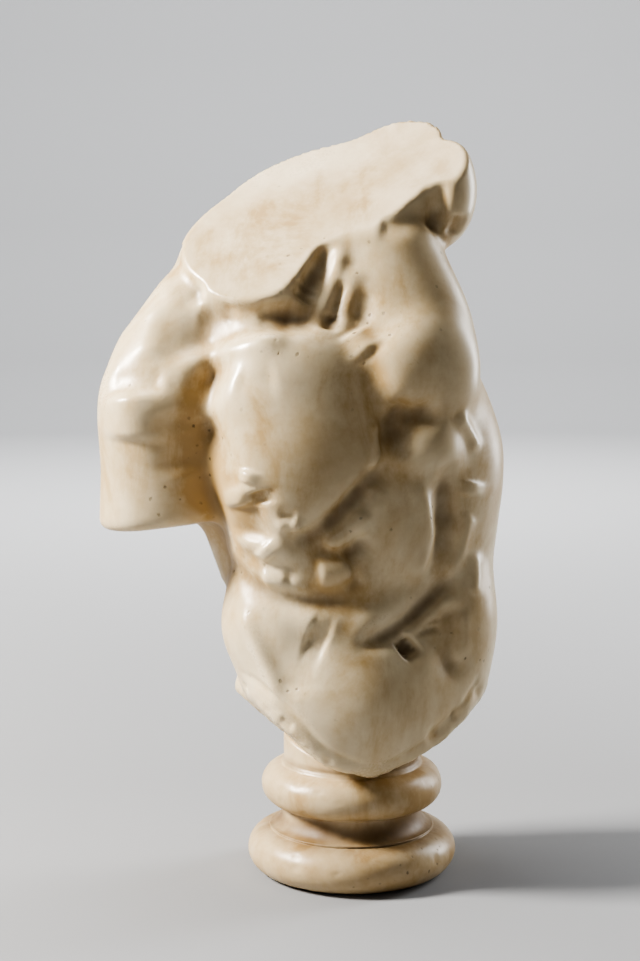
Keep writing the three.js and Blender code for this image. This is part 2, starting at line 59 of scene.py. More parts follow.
# front strokes are thrown onto the body from this point, as a viewer in front sees them
VIEWPOINT = (-27, -1572, 521)
FRONT_PLANE = -60             # the y at which front strokes are laid out
BACK_PLANE = 160              # back strokes are thrown forward from here
RAY_LEAD = 80                 # how far before the front plane the rays start
RAY_STEP = 4
RAY_LENGTH = 300
HALVINGS = 8                  # how often the last step of a ray is halved
NORMAL_SHARE = 0.35           # weight of distance along the normal, next to distance along the skin
STROKE_REACH = 2.6            # how many half widths a stroke still lifts the skin
STROKE_PIECE = (2.5, 0.6)     # shortest piece of a course, and its share of the half width
FADE = 0.25                   # share of a course over which each end fades out

# trunk sections: level, centre x, centre y, half width, half depth, turn to the right in degrees
SECTION_POWER = 2.4           # how square a section is, where 2 is an ellipse
TRUNK = [
    [40, 12, 0, 50, 45, 20],
    [80, 12, -2, 80, 56, 20],
    [110, 12, -6, 96, 66, 20],
    [140, 11, -6, 105, 72, 20],
    [170, 10, -5, 107, 74, 20],
    [200, 9, -3, 108, 72, 20],
    [235, 9, 0, 111, 68, 20],
    [270, 9, 0, 116, 67, 20],
    [300, 9, 2, 120, 70, 20],
    [335, 8, 4, 125, 73, 20],
    [370, 5, 6, 126, 74, 18],
    [410, -2, 10, 119, 71, 15],
    [450, -12, 16, 108, 64, 12],
    [490, -22, 22, 96, 56, 10],
    [530, -26, 26, 88, 50, 8],
    [570, -18, 29, 80, 43, 8],
    [610, 0, 30, 74, 38, 8],
    [660, 20, 30, 66, 34, 8],
]

# masses of the body: name, blend with what is below, blend inside the group, shapes
# an ellipsoid is centre, radii, turns (to the left, back, round)
# a limb is two ends and two radii
MASSES = [
    ["trapezius", 26, 24, [
        ["limb", [-30, 26, 640], [-100, 26, 520], 42, 42],
        ["limb", [-100, 26, 520], [-156, 18, 440], 42, 44],
    ]],
    ["neck", 10, 10, [
        ["limb", [-62, 4, 440], [-90, -4, 560], 50, 52],
    ]],
    ["raised shoulder", 18, 22, [
        ["limb", [24, 24, 500], [34, 30, 640], 42, 39],
    ]],
    ["shoulder lump", 5, 10, [
        ["ellipsoid", [75, 30, 581], [31, 32, 48], [0, 0, 0]],
    ]],
    ["hanging arm", 16, 22, [
        ["ellipsoid", [-160, 2, 395], [48, 46, 68], [6, 0, 0]],
        ["limb", [-162, 2, 400], [-167, 2, 250], 49, 50],
        ["limb", [-140, 0, 400], [-138, 4, 290], 44, 40],
    ]],
    ["latissimus", 20, 20, [
        ["limb", [-112, 30, 350], [-88, 24, 262], 36, 28],
    ]],
    ["right breast", 30, 34, [
        ["ellipsoid", [-43, -44, 392], [67, 31, 68], [10, -8, 8]],
        ["ellipsoid", [-46, -60, 342], [52, 28, 46], [0, 0, 6]],
    ]],
    ["left breast", 28, 30, [
        ["ellipsoid", [52, -12, 478], [46, 32, 86], [14, 22, 20]],
        ["ellipsoid", [56, -42, 430], [40, 21, 36], [0, 0, 28]],
    ]],
    ["belly", 26, 20, [
        ["ellipsoid", [10, -36, 154], [56, 52, 60], [0, 0, 8]],
    ]],
    ["obliques", 22, 10, [
        ["ellipsoid", [-68, -14, 218], [42, 48, 44], [0, 0, -10]],
        ["ellipsoid", [80, 6, 215], [42, 48, 60], [0, 0, 20]],
    ]],
    ["left rib", 20, 10, [
        ["ellipsoid", [60, -43, 368], [26, 21, 25], [0, 0, 25]],
    ]],
    ["epigastrium", 14, 10, [
        ["ellipsoid", [38, -46, 303], [26, 24, 50], [-6, 0, 20]],
    ]],
    ["right scapula", 14, 10, [
        ["ellipsoid", [-104, 52, 432], [44, 20, 62], [0, 0, 10]],
    ]],
    ["left scapula", 14, 10, [
        ["ellipsoid", [48, 56, 452], [36, 22, 58], [0, -22, 0]],
    ]],
    ["buttocks", 18, 12, [
        ["ellipsoid", [-52, 44, 140], [52, 38, 56], [0, 0, 0]],
        ["ellipsoid", [44, 54, 140], [54, 34, 56], [0, 0, 0]],
    ]],
]

# carved strokes: name, half width, height (grooves are negative), course as x and level
FRONT_STROKES = [
    ["clavicle ridge", 11, 7, [[-150, 426], [-128, 438], [-102, 447], [-75, 455], [-48, 462]]],
    ["under the clavicle", 12, -2, [[-98, 426], [-80, 425], [-60, 428]]],
    ["hollow over clavicle", 11, -7, [[-128, 478], [-105, 476], [-80, 477], [-50, 476], [-24, 472]]],
    ["deep of the hollow", 10, -3.5, [[-80, 480], [-62, 479], [-46, 477]]],
    ["furrow over clavicle", 6, -3, [[-100, 486], [-108, 470]]],
    ["throat crevice", 8, -7, [[-20, 541], [-25, 524], [-33, 508], [-41, 496]]],
    ["throat crevice, low", 10, -4, [[-36, 503], [-44, 490]]],
    ["groove beside the neck", 12, -7, [[-158, 548], [-148, 524], [-134, 502], [-120, 488]]],
    ["first tendon", 8, 4, [[-12, 540], [-14, 515], [-22, 492], [-34, 474]]],
    ["groove between tendons", 5, -2.5, [[-8, 508], [-13, 488], [-18, 470]]],
    ["pit between tendons", 7, -4, [[-17, 480], [-20, 466]]],
    ["second tendon", 9, 3.5, [[2, 520], [-3, 500], [-8, 480], [-12, 458]]],
    ["hollow by the tendon", 9, -2, [[14, 500], [8, 485], [3, 470]]],
    ["clavicle head", 11, 4, [[-2, 466], [14, 446]]],
    ["breastbone", 15, -4, [[10, 446], [16, 430], [22, 412], [27, 395], [28, 378], [27, 362]]],
    ["lower edge of left breast", 12, -6, [[26, 404], [40, 397], [56, 397], [74, 404]]],
    ["deep under left breast", 7, -3, [[38, 394], [50, 397], [62, 402]]],
    ["edge of right breast", 4, 3.5, [[20, 400], [19, 380], [18, 362], [15, 350]]],
    ["lower edge of right breast", 11, -8,
        [[27, 368], [21, 350], [10, 335], [-4, 320], [-18, 306], [-32, 297], [-48, 293], [-64, 298]]],
    ["deep under right breast", 7, -4.5, [[14, 340], [2, 328], [-12, 314], [-26, 302]]],
    ["nipple", 6, 4, [[-47, 306]]],
    ["nipple, side", 5, 2.5, [[-58, 307]]],
    ["areola", 4, -2.5, [[-62, 316], [-46, 314]]],
    ["groove between arm and breast", 14, -5,
        [[-122, 400], [-116, 382], [-108, 364], [-101, 346], [-96, 328]]],
    ["armpit bump", 9, 4, [[-86, 353], [-88, 340]]],
    ["armpit hollow", 10, -7, [[-80, 336], [-76, 322]]],
    ["shade under the arm", 17, -9, [[-92, 326], [-86, 308], [-82, 290]]],
    ["front of deltoid", 24, 7, [[-182, 420], [-182, 372]]],
    ["deltoid valley", 16, -4, [[-152, 405], [-146, 375], [-140, 345]]],
    ["shoulder top valley", 11, -4, [[-202, 424], [-176, 428], [-150, 424]]],
    ["trapezius edge", 14, 3, [[-162, 490], [-166, 440]]],
    ["first rib", 8, 4.5, [[-28, 288], [-12, 297], [2, 309], [9, 322]]],
    ["under first rib", 7, -4.5, [[-40, 285], [-20, 283], [0, 285], [12, 299]]],
    ["serratus", 10, 4, [[-76, 290], [-66, 279]]],
    ["serratus, side", 8, 3, [[-56, 285]]],
    ["flank bump", 13, 6, [[-32, 267], [-15, 270], [0, 275]]],
    ["waist fold", 10, -8,
        [[-110, 284], [-97, 270], [-85, 257], [-70, 249], [-50, 244], [-30, 243], [-10, 245], [24, 249]]],
    ["deep of the waist fold", 6, -3.5, [[-90, 262], [-72, 250], [-50, 244], [-20, 244]]],
    ["upper waist fold", 7, -4.5, [[-98, 288], [-80, 275], [-60, 269], [-44, 263]]],
    ["waist bump", 10, 3.5, [[-78, 262], [-52, 260]]],
    ["spot under the flank bump", 7, -3.5, [[0, 258]]],
    ["rib arch", 9, 3.5, [[46, 348], [56, 330], [63, 308], [62, 288], [54, 270], [40, 260]]],
    ["groove outside rib arch", 15, -5.5,
        [[64, 336], [72, 320], [77, 303], [75, 287], [68, 271], [56, 258], [40, 250], [22, 247]]],
    ["rib arch, near side", 8, 3, [[22, 345], [18, 330], [9, 310], [2, 296]]],
    ["groove by left rib", 9, -2.5, [[37, 390], [39, 376], [45, 360]]],
    ["side rib", 12, 4, [[98, 345], [96, 330]]],
    ["upper side rib", 7, 4, [[84, 400], [93, 385], [103, 366]]],
    ["groove before side rib", 10, -3.5, [[78, 364], [76, 345], [79, 322], [84, 300]]],
    ["flank ridge", 7, 3, [[97, 318], [93, 305], [87, 282], [76, 262]]],
    ["band over the navel fold", 11, 4.5,
        [[-7, 214], [10, 226], [30, 238], [51, 254], [71, 275], [83, 291]]],
    ["navel fold", 8, -5,
        [[-4, 206], [16, 211], [34, 219], [50, 231], [63, 243], [78, 257], [92, 274]]],
    ["deep of the navel fold", 4.5, -2.5, [[2, 208], [20, 213], [36, 220], [52, 232], [68, 247], [84, 264]]],
    ["ridge under the fold", 6, 3, [[34, 212], [55, 227], [69, 240], [84, 254]]],
    ["bump right of the navel", 14, 3, [[60, 196]]],
    ["hollow left of the navel", 16, -4, [[-40, 216], [-20, 208]]],
    ["groin valley", 18, -4.5, [[-28, 222], [-44, 202], [-52, 182], [-50, 158]]],
    ["bump over the hollow", 14, 2, [[-32, 230]]],
    ["hip ridge", 8, 4.5,
        [[-96, 240], [-88, 225], [-80, 208], [-72, 190], [-64, 170], [-57, 155]]],
    ["left flank valley", 11, -4.5, [[80, 245], [84, 225], [83, 200], [80, 172]]],
    ["left flank ridge", 8, 3.5, [[91, 240], [90, 215], [88, 190]]],
    ["left flank ridge, upper", 8, 3.5, [[99, 288], [100, 265], [98, 246]]],
    ["hollow under the raised shoulder", 12, -5, [[16, 552], [38, 554], [60, 566]]],
    ["crease by the shoulder lump", 7, -7, [[60, 545], [68, 565], [70, 592]]],
    ["crease under the shoulder lump", 8, -5, [[80, 540], [86, 560]]],
]
BACK_STROKES = [
    ["spine", 15, -9,
        [[-34, 600], [-36, 530], [-28, 450], [-20, 370], [-18, 300], [-18, 235], [-17, 180]]],
    ["right spinal muscle", 14, 6, [[-50, 350], [-46, 300], [-44, 235], [-42, 180]]],
    ["left spinal muscle", 14, 6, [[10, 350], [10, 300], [10, 235], [10, 180]]],
    ["right scapula border", 10, -7, [[-66, 490], [-62, 440], [-64, 395], [-78, 366]]],
    ["right scapula spine", 9, 6, [[-72, 470], [-110, 480], [-150, 470], [-190, 440]]],
    ["left scapula border", 10, -7, [[-4, 500], [8, 450], [24, 405], [44, 385]]],
    ["left scapula spine", 9, 6, [[2, 500], [30, 530], [66, 560]]],
    ["sacrum", 24, -6, [[-17, 190], [-16, 150]]],
    ["right latissimus edge", 9, -4, [[-80, 350], [-60, 290], [-50, 250]]],
    ["left latissimus edge", 9, -4, [[50, 370], [34, 300], [22, 260]]],
]

TORSO_GRAINS = (3.0, 2.35)    # mesh sizes, coarse then fine
TOP_EDGE = 3                  # rounding of the edge round the upper break
UNDER_EDGE = 6                # rounding of the edge round the lower break
UNDER_MEETING = 5             # rounding between the planes of the lower break
UNDULATION = (38, 0.45)       # bump size and height of hand-worked skin
SKIN_WORN = 0.6               # the whole skin lies this much inside the solid
TOP_WAVE = (52, 1.6)          # bump size and height on the break over the neck
BREAK_ROUGHNESS = ((17, 1.2), (6, 0.7), (3.2, 0.35))  # bump size and height on the lower break
RAGGED_BAND = 13              # width of the crumbled skin beside the lower break
RAGGED_CRUMBS = (7, 0.5, 1.2)  # bump size, what is added to the noise, and the most it may reach
RAGGED_PLACE = 90             # where that noise is read, away from the other noises
RAGGED_DEPTH = 1.5
RAGGED_STAIN = 0.25           # what the crumbled skin adds to the patina
# the hollows are darkened by patina together with painted shade, looked for at three reaches
HOLLOW_REACHES = ((6, 0.3), (14, 0.6), (30, 1.2))  # how far around a place is looked, and its share
HOLLOW_GAIN = 2               # how soon a bend counts in full
TORSO_CLEAN = (0.72, 0.605, 0.41)
TORSO_WARM = (0.48, 0.325, 0.145)
# the deepest colour: patina with painted shade in the hollows
TORSO_DEEP_PATINA_AND_SHADE = (0.15, 0.09, 0.04)

# finer strokes of the finishing chisel and the drill, laid out like the ones above
FINE_STROKES = [
    ["navel, mouth", 8, -6, [[38, 200], [45, 206], [51, 213]]],
    ["navel, drilled", 6, -20, [[40, 201], [45, 206], [50, 212]]],
    ["crease by the navel", 2.6, -3, [[51, 215], [62, 220], [73, 222]]],
    ["second crease by the navel", 2.2, -2, [[54, 221], [64, 227], [74, 230]]],
    ["thin rim over the break", 3.2, -3.2,
        [[-97, 187], [-80, 176], [-60, 158], [-40, 137], [-20, 117], [0, 108], [20, 104]]],
    ["thin rim over the break, left hip", 3.2, -2.8,
        [[20, 104], [34, 108], [60, 125], [82, 144], [98, 168], [106, 186]]],
    ["nipple tip", 2.6, 1.6, [[-46, 305]]],
    ["crease under the nipple", 2.4, -1.6, [[-56, 301], [-46, 299], [-38, 302]]],
    ["armpit wrinkle", 3, -2.4, [[-92, 330], [-84, 318], [-74, 312]]],
    ["second armpit wrinkle", 2.6, -2, [[-104, 322], [-94, 308], [-82, 300]]],
    ["waist wrinkle", 2.6, -2, [[-86, 283], [-72, 272], [-58, 271]]],
    ["flank wrinkle", 2.6, -2, [[-40, 262], [-32, 251], [-20, 247]]],
    ["broken patch on the left hip", 9, -5, [[60, 124], [78, 138], [94, 154]]],
    ["pit in the broken patch", 4, -4, [[69, 130], [73, 135]]],
    ["second pit in the broken patch", 4, -4, [[86, 147]]],
    ["chip on the left hip", 6, -3, [[104, 168]]],
    ["chip on the right hip", 4, -3, [[-90, 172]]],
    ["long chip on the break", 4, -3, [[-62, 146], [-50, 136]]],
    ["short chip on the break", 4, -3, [[-22, 108]]],
]

METRES = 0.001                # one millimetre


def blend(a, b, width):
    """The smaller of two distances, with the crease between them filled."""
    overlap = np.maximum(width - np.abs(a - b), 0) / width
    return np.minimum(a, b) - overlap * overlap * width * 0.25


def trim(a, b, width):
    """The larger of two distances, with the edge between them rounded."""
    return -blend(-a, -b, width)


def height_over(points, normal, point):
    """Signed height of points over a plane."""
    up = np.array(normal, float)
    up /= np.linalg.norm(up)
    return (points - np.array(point, float)) @ up


def turn_matrix(to_left, to_back, round_z):
    """The turning of a mass: to the left, to the back, then round."""
    (sy, cy), (sx, cx), (sz, cz) = (
        (math.sin(math.radians(each)), math.cos(math.radians(each)))
        for each in (to_left, to_back, round_z)
    )
    left = np.array([[cy, 0, -sy], [0, 1, 0], [sy, 0, cy]])
    back = np.array([[1, 0, 0], [0, cx, sx], [0, -sx, cx]])
    around = np.array([[cz, -sz, 0], [sz, cz, 0], [0, 0, 1]])
    return around @ left @ back


def ellipsoid(points, centre, radii, turns):
    local = (points - np.array(centre, float)) @ turn_matrix(*turns)
    radii = np.array(radii, float)
    near = np.linalg.norm(local / radii, axis=-1)
    slope = np.linalg.norm(local / radii**2, axis=-1)
    return near * (near - 1) / np.maximum(slope, 1e-6)


def limb(points, start, end, radius_start, radius_end):
    start = np.array(start, float)
    along = np.array(end, float) - start
    t = np.clip((points - start) @ along / (along @ along), 0, 1)
    away = points - start - t[:, None] * along
    return np.linalg.norm(away, axis=-1) - (radius_start + t * (radius_end - radius_start))


def trunk(points):
    """The lofted trunk: rounded sections joined from level to level by Hermite curves."""
    sections = np.array(TRUNK, float)
    levels = sections[:, 0]
    last = len(levels) - 1
    low = np.maximum(np.arange(last + 1) - 1, 0)
    high = np.minimum(np.arange(last + 1) + 1, last)
    slopes = (sections[high] - sections[low]) / (levels[high] - levels[low])[:, None]
    z = np.clip(points[:, 2], levels[0], levels[-1])
    i = np.clip(np.searchsorted(levels, z, side="left") - 1, 0, last - 1)
    step = (levels[i + 1] - levels[i])[:, None]
    t = (z - levels[i])[:, None] / step
    rise = sections[i + 1] - sections[i]
    bend = (slopes[i] * step - rise) * (1 - t) - (slopes[i + 1] * step - rise) * t
    _, x, y, half_width, half_depth, turn = (sections[i] + t * rise + t * (1 - t) * bend).T
    c, s = np.cos(np.radians(turn)), np.sin(np.radians(turn))
    across = (points[:, 0] - x) * c + (points[:, 1] - y) * s
    deep = (points[:, 1] - y) * c - (points[:, 0] - x) * s
    power = SECTION_POWER
    share = (np.abs(across / half_width) ** power + np.abs(deep / half_depth) ** power) ** (1 / power)
    share = np.maximum(share, 1e-3)
    inside = np.hypot(across, deep) * (1 - 1 / share)
    return np.where(share > 1e-3, inside, -np.minimum(half_width, half_depth))


MAKERS = {"ellipsoid": ellipsoid, "limb": limb}


def body(points):
    """The uncarved body."""
    distance = trunk(points)
    for name, outer, inner, shapes in MASSES:
        own = None
        for kind, *sizes in shapes:
            shape = MAKERS[kind](points, *sizes)
            own = shape if own is None else blend(own, shape, inner)
        if name == "hanging arm":
            own = trim(own, height_over(points, **ARM_END), ARM_EDGE)
        distance = blend(distance, own, outer)
    return distance


def gradient(field, points, reach=1.0):
    steps = np.eye(3) * reach
    return np.stack([(field(points + s) - field(points - s)) / (2 * reach) for s in steps], -1)


def landings(start, direction):
    """First points of the body along rays, or the nearest ones where rays miss."""
    distances = np.arange(0, RAY_LENGTH, RAY_STEP)
    samples = start[:, None] + direction[:, None] * distances[:, None]
    values = body(samples.reshape(-1, 3)).reshape(len(start), -1)
    hit = values < 0
    first = np.argmax(hit, 1)
    nearest = np.argmin(values, 1)
    missed = ~hit.any(1)
    inside = distances[np.where(missed, nearest, first)].astype(float)
    outside = np.where(missed, inside, np.maximum(inside - RAY_STEP, 0))
    for _ in range(HALVINGS):
        middle = (outside + inside) / 2
        under = body(start + direction * middle[:, None]) < 0
        inside = np.where(under, middle, inside)
        outside = np.where(under, outside, middle)
    return start + direction * ((outside + inside) / 2)[:, None]


def smooth_course(course, count):
    """Points at even steps along a Catmull-Rom curve through a stroke's course."""
    course = np.array(course, float)
    ends = np.vstack([2 * course[0] - course[1], course, 2 * course[-1] - course[-2]])
    places = np.linspace(0, len(course) - 1, count)
    i = np.minimum(places.astype(int), len(course) - 2)
    t = (places - i)[:, None]
    a, b, c, d = ends[i], ends[i + 1], ends[i + 2], ends[i + 3]
    bend = (2 * a - 5 * b + 4 * c - d) * t**2 + (3 * b - 3 * c + d - a) * t**3
    return 0.5 * (2 * b + (c - a) * t + bend)


class Stroke:
    """One stroke on the skin, with a bell-shaped cross-section and fading ends."""

    def __init__(self, half_width, height, course, side):
        course = np.array(course, float)
        if len(course) > 1:
            length = np.linalg.norm(np.diff(course, axis=0), axis=1).sum()
            shortest, share = STROKE_PIECE
            pieces = max(3, int(length / max(shortest, half_width * share)))
            course = smooth_course(course, pieces + 1)
        if side == "front":
            start = np.insert(course, 1, FRONT_PLANE, axis=1)
            direction = start - np.array(VIEWPOINT, float)
            direction /= np.linalg.norm(direction, axis=1, keepdims=True)
            start = start - direction * RAY_LEAD
        else:
            start = np.insert(course, 1, BACK_PLANE, axis=1)
            direction = np.tile([0.0, -1.0, 0.0], (len(course), 1))
        self.half_width = half_width
        self.height = height
        self.points = landings(start, direction)
        self.normals = gradient(body, self.points)
        self.normals /= np.linalg.norm(self.normals, axis=1, keepdims=True)
        reach = half_width * STROKE_REACH
        self.low = self.points.min(0) - reach
        self.high = self.points.max(0) + reach

    def skin_distance(self, away, normal):
        along = (away * normal).sum(1)
        return (away * away).sum(1) - (1 - NORMAL_SHARE) * along * along

    def lift(self, points):
        """How far the stroke lifts the surface at each point."""
        if len(self.points) == 1:
            least = self.skin_distance(points - self.points[0], self.normals[:1])
            return self.height * np.exp(-np.maximum(least, 0) / self.half_width**2)
        least = np.full(len(points), np.inf)
        place = np.full(len(points), 0.5)
        last = len(self.points) - 1
        for i in range(last):
            step = self.points[i + 1] - self.points[i]
            t = np.clip((points - self.points[i]) @ step / (step @ step), 0, 1)[:, None]
            away = points - self.points[i] - t * step
            normal = self.normals[i] * (1 - t) + self.normals[i + 1] * t
            distance = self.skin_distance(away, normal)
            closer = distance < least
            least = np.where(closer, distance, least)
            place = np.where(closer, (i + t[:, 0]) / last, place)
        fade = np.clip(np.minimum(place, 1 - place) / FADE, 0, 1)
        fade = fade * fade * (3 - 2 * fade)
        return self.height * fade * np.exp(-np.maximum(least, 0) / self.half_width**2)


strokes = [Stroke(*stroke[1:], "front") for stroke in FRONT_STROKES + FINE_STROKES]
strokes += [Stroke(*stroke[1:], "back") for stroke in BACK_STROKES]


def lattice_noise(points, size):
    """Smooth noise from -1 to 1 whose bumps are about one size across."""
    scaled = points / size
    cell = np.floor(scaled)
    t = scaled - cell
    t = t * t * (3 - 2 * t)
    total = 0
    for corner in np.ndindex(2, 2, 2):
        where = cell + corner
        value = np.sin(where @ np.array([127.1, 311.7, 74.7])) * 43758.5453
        share = np.where(corner, t, 1 - t).prod(1)
        total = total + (value - np.floor(value)) * share
    return 2 * total - 1


def ragged_share(under):
    """How far the skin beside the broken underside is crumbled, from 0 to 1."""
    return np.clip(1 + under / RAGGED_BAND, 0, 1)


def under_break(points):
    """Height under the broken underside's planes."""
    under = None
    for along_x, along_y, point in UNDERSIDE:
        plane = height_over(points, (along_x, along_y, -1), point)
        under = plane if under is None else trim(under, plane, UNDER_MEETING)
    return under


def carved(points):
    """The finished skin of the torso, broken ends included."""
    distance = body(points)
    for stroke in strokes:
        near = np.nonzero(((points > stroke.low) & (points < stroke.high)).all(1))[0]
        if len(near):
            distance[near] -= stroke.lift(points[near])
    distance = distance - lattice_noise(points, UNDULATION[0]) * UNDULATION[1] + SKIN_WORN
    top = height_over(points, **TOP_BREAK)
    top = top - lattice_noise(points, TOP_WAVE[0]) * TOP_WAVE[1] + TOP_WAVE[1]
    distance = trim(distance, top, TOP_EDGE)
    under = under_break(points)
    rough = sum(lattice_noise(points, size) * depth for size, depth in BREAK_ROUGHNESS)
    size, lifted, most = RAGGED_CRUMBS
    crumbs = np.clip(lattice_noise(points + RAGGED_PLACE, size) + lifted, 0, most)
    distance = distance + ragged_share(under) * crumbs * RAGGED_DEPTH
    under = under + sum(depth for _, depth in BREAK_ROUGHNESS) - rough
    return trim(distance, under, UNDER_EDGE)


SETTLE_ROUNDS = 3


def settled(points, field, longest_step):
    """Points moved along the field's gradient until they lie on the skin."""
    for _ in range(SETTLE_ROUNDS):
        slope = gradient(field, points)
        step = -(field(points) / np.maximum((slope * slope).sum(1), 0.2))[:, None] * slope
        length = np.linalg.norm(step, axis=1, keepdims=True)
        points = points + step * np.minimum(1, longest_step / np.maximum(length, 1e-9))
    return points


def mesh_points(piece):
    points = np.empty(len(piece.data.vertices) * 3)
    piece.data.vertices.foreach_get("co", points)
    return points.reshape(-1, 3) / METRES


def put_points(piece, points):
    piece.data.vertices.foreach_set("co", (points * METRES).ravel())
    piece.data.update()


def remesh(piece, size):
    """An even mesh of one size, made by the Remesh modifier."""
    modifier = piece.modifiers.new("fine grain", "REMESH")
    modifier.mode = "VOXEL"
    modifier.voxel_size = size * METRES
    modifier.use_smooth_shade = True
    bpy.ops.object.modifier_apply(modifier=modifier.name)


bpy.ops.object.select_all(action="DESELECT")
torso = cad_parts["torso"].copy()
torso.data = torso.data.copy()
torso.name = "torso_carved"
torso.parent = None
for key in list(torso.keys()):
    del torso[key]
bpy.context.scene.collection.objects.link(torso)
torso.select_set(True)
bpy.context.view_layer.objects.active = torso
bpy.ops.object.mode_set(mode="EDIT")
bpy.ops.mesh.select_all(action="SELECT")
bpy.ops.mesh.remove_doubles(threshold=0.00001)
bpy.ops.object.mode_set(mode="OBJECT")
for grain in TORSO_GRAINS:
    remesh(torso, grain)
    put_points(torso, settled(mesh_points(torso), carved, grain * 1.5))
bpy.ops.object.shade_smooth()

# how deep each place lies in a hollow, from the bend of the skin around it, for the patina and the painted
# shade in the hollows; the widest reach darkens the broad valleys as painted shade
points = mesh_points(torso)
hollow = np.zeros(len(points))
for reach, share in HOLLOW_REACHES:
    around = sum(carved(points + s) + carved(points - s) for s in np.eye(3) * reach)
    hollow += np.tanh(-around / (6 * reach) * HOLLOW_GAIN) * share
hollow += ragged_share(under_break(points)) * RAGGED_STAIN
shade_and_patina_layer = torso.data.attributes.new("hollow", "FLOAT", "POINT")
shade_and_patina_layer.data.foreach_set("value", hollow.astype(np.float32))


class Wire:
    """A shader socket that takes part in sums and products."""

    def __init__(self, tree, socket):
        self.tree = tree
        self.socket = socket

    def joined(self, operation, *values):
        return node(self.tree, "ShaderNodeMath", {"operation": operation}, list(enumerate(values)))

    def __add__(self, other):
        return self.joined("ADD", self, other)

    def __sub__(self, other):
        return self.joined("SUBTRACT", self, other)

    def __rsub__(self, other):
        return self.joined("SUBTRACT", other, self)

    def __mul__(self, other):
        return self.joined("MULTIPLY", self, other)

    __radd__ = __add__
    __rmul__ = __mul__

    def limited(self):
        """The value kept between 0 and 1."""
        return self.joined("MINIMUM", self.joined("MAXIMUM", self, 0.0), 1.0)


def node(tree, kind, settings, inputs, output=0):
    """A shader node, its settings first, then the values or links of its sockets."""
    made = tree.nodes.new(kind)
    for name, value in settings.items():
        setattr(made, name, value)
    for socket, value in inputs:
        if isinstance(value, Wire):
            tree.links.new(value.socket, made.inputs[socket])
        else:
            made.inputs[socket].default_value = value
    return Wire(tree, made.outputs[output])


def painted(tree, under, over, share):
    """One colour laid over another by a share."""
    settings = {"data_type": "RGBA", "blend_type": "MIX"}
    return node(tree, "ShaderNodeMix", settings, [(0, share), (6, under), (7, over)], 2)


def between(tree, value, low, high):
    """How far a value has risen from low to high, smoothly, from 0 to 1."""
    settings = {"interpolation_type": "SMOOTHSTEP"}
    return node(tree, "ShaderNodeMapRange", settings, [(0, value), (1, low), (2, high)])


def noise(tree, place, scale, detail, roughness, distortion=0.0):
    inputs = [("Vector", place), ("Scale", scale), ("Detail", detail)]
    inputs += [("Roughness", roughness), ("Distortion", distortion)]
    return node(tree, "ShaderNodeTexNoise", {}, inputs)


# noises in the stone: bumps per metre, detail, roughness, distortion
CLOUDS = (6.0, 6.0, 0.62, 0.6)
STAINS = (17.0, 7.0, 0.66, 0.4)
MOTTLING = (55.0, 5.0, 0.6)
CRYSTALS = (420.0, 2.0, 0.5)
SPECK_FIELDS = (11.0, 4.0, 0.6, 0.3)
SPECK_EDGES = (210.0, 3.0, 0.6)
SPECK_CELLS = 95.0
DRAWN_DOWN = (1.0, 1.0, 0.45)  # stains are longer downwards
ALL_WARM = 0.05               # warmth that the whole stone has, before clouds and stains
CLOUD_WARM = 0.6
STAIN_WARM = 0.7
MOTTLE_WARM = 1.1
RELIEF = {"strength": 0.35, "metres": 0.0009}
GLOW = {"weight": 0.06, "metres": (0.006, 0.0035, 0.002)}  # light that goes through the stone


